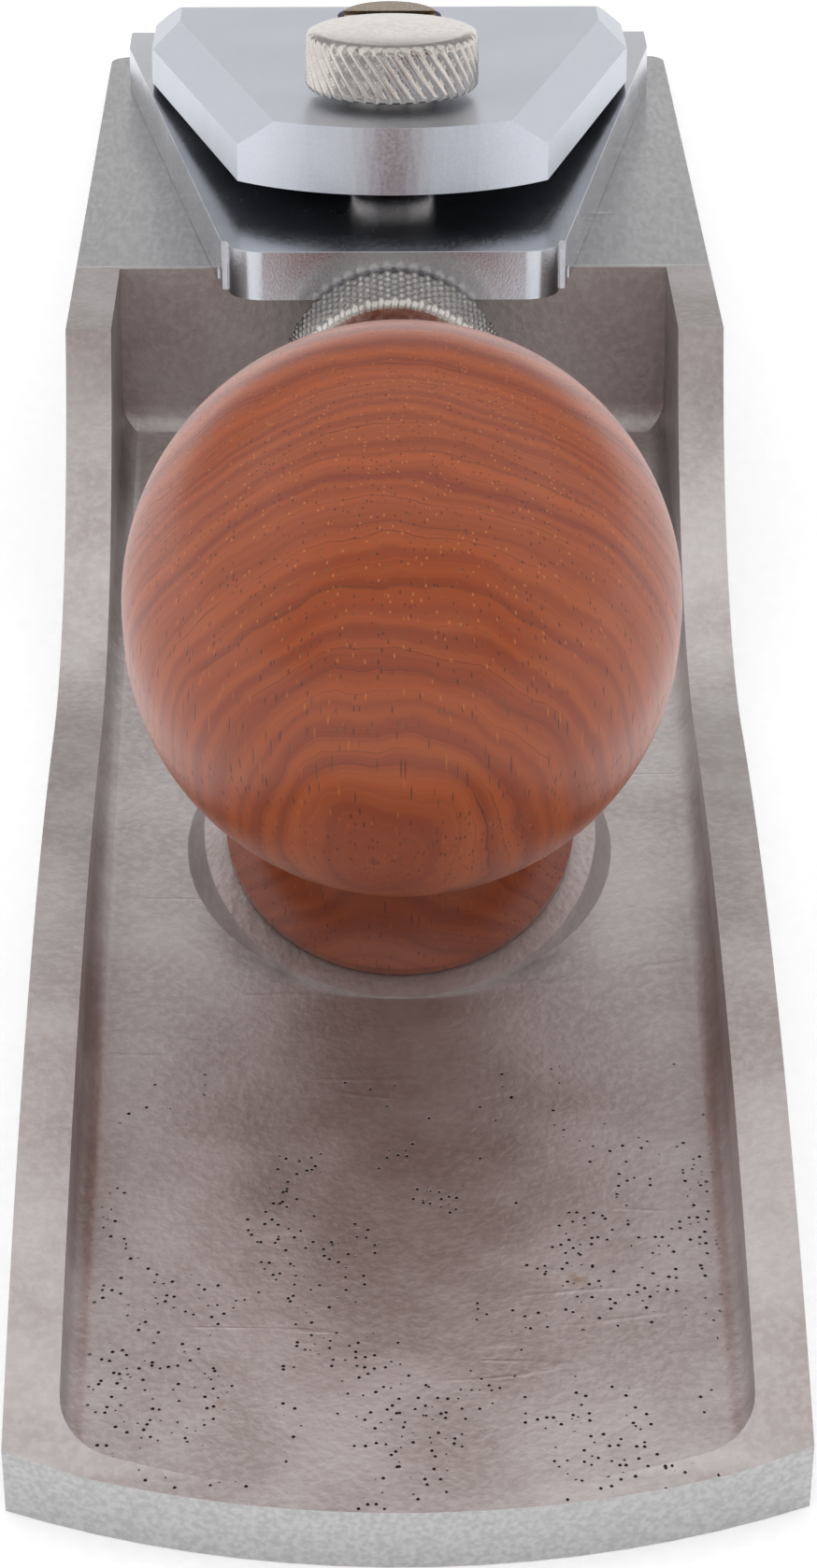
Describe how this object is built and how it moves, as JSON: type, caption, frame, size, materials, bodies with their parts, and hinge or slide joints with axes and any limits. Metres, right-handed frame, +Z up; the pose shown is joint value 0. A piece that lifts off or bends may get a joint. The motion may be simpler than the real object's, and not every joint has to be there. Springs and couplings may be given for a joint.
{
  "type": "chisel plane",
  "caption": "Low hand plane with a spade-shaped blade on a sloping bed, a lever cap, a knurled depth nut and a leaning turned wooden ball knob.",
  "frame": {"origin": "middle of the sole's box: on the sole, half way between heel and cutting edge", "axes": "+Y towards the cutting edge, +X to the right seen from the heel, +Z up"},
  "size_m": [0.045, 0.165, 0.0482],
  "materials": {
    "body": "cast inside, ground on the sides, shoulders and sole",
    "blade": "lapped tool steel",
    "lever_cap": "fine satin, bead blasted",
    "lever_cap_screw": "turned",
    "clamp_wheel": "nickel plated, knurled rim",
    "depth_nut": "nickel plated, knurled rim",
    "depth_stud": "plain threaded rod",
    "knob": "turned dense tropical wood under oil and wax",
    "knob_insert": "turned",
    "knob_stud": "plain threaded rod"
  },
  "bodies": {
    "plane_body": {"body": "body", "lever_cap_screw": "lever_cap_screw", "depth_stud": "depth_stud", "knob": "knob", "knob_insert": "knob_insert", "knob_stud": "knob_stud"},
    "blade": {"blade": "blade"},
    "depth_nut": {"depth_nut": "depth_nut"},
    "lever_cap": {"lever_cap": "lever_cap"},
    "clamp_wheel": {"clamp_wheel": "clamp_wheel"}
  },
  "joints": [
    {"name": "blade_feed", "type": "slide", "parent": "plane_body", "child": "blade", "axis": [0, 0.9659, -0.2588], "range_m": [-0.004, 0.0005]},
    {"name": "depth_nut_turn", "type": "hinge", "parent": "blade", "child": "depth_nut", "pos_m": [0, 0.01694, 0.01197], "axis": [0, 0.9659, -0.2588], "range_deg": [-1441, 181]},
    {"name": "lever_cap_release", "type": "slide", "parent": "plane_body", "child": "lever_cap", "axis": [0, -0.9659, 0.2588], "range_m": [0, 0.007]},
    {"name": "clamp_wheel_turn", "type": "hinge", "parent": "lever_cap", "child": "clamp_wheel", "pos_m": [0, 0.03589, 0.01802], "axis": [0, 0.3057, 0.9521], "range_deg": [0, 360]}
  ],
  "couplings": [
    {"joint": "depth_nut_turn", "follows": "blade_feed", "rad_per_m": 6283.2}
  ]
}
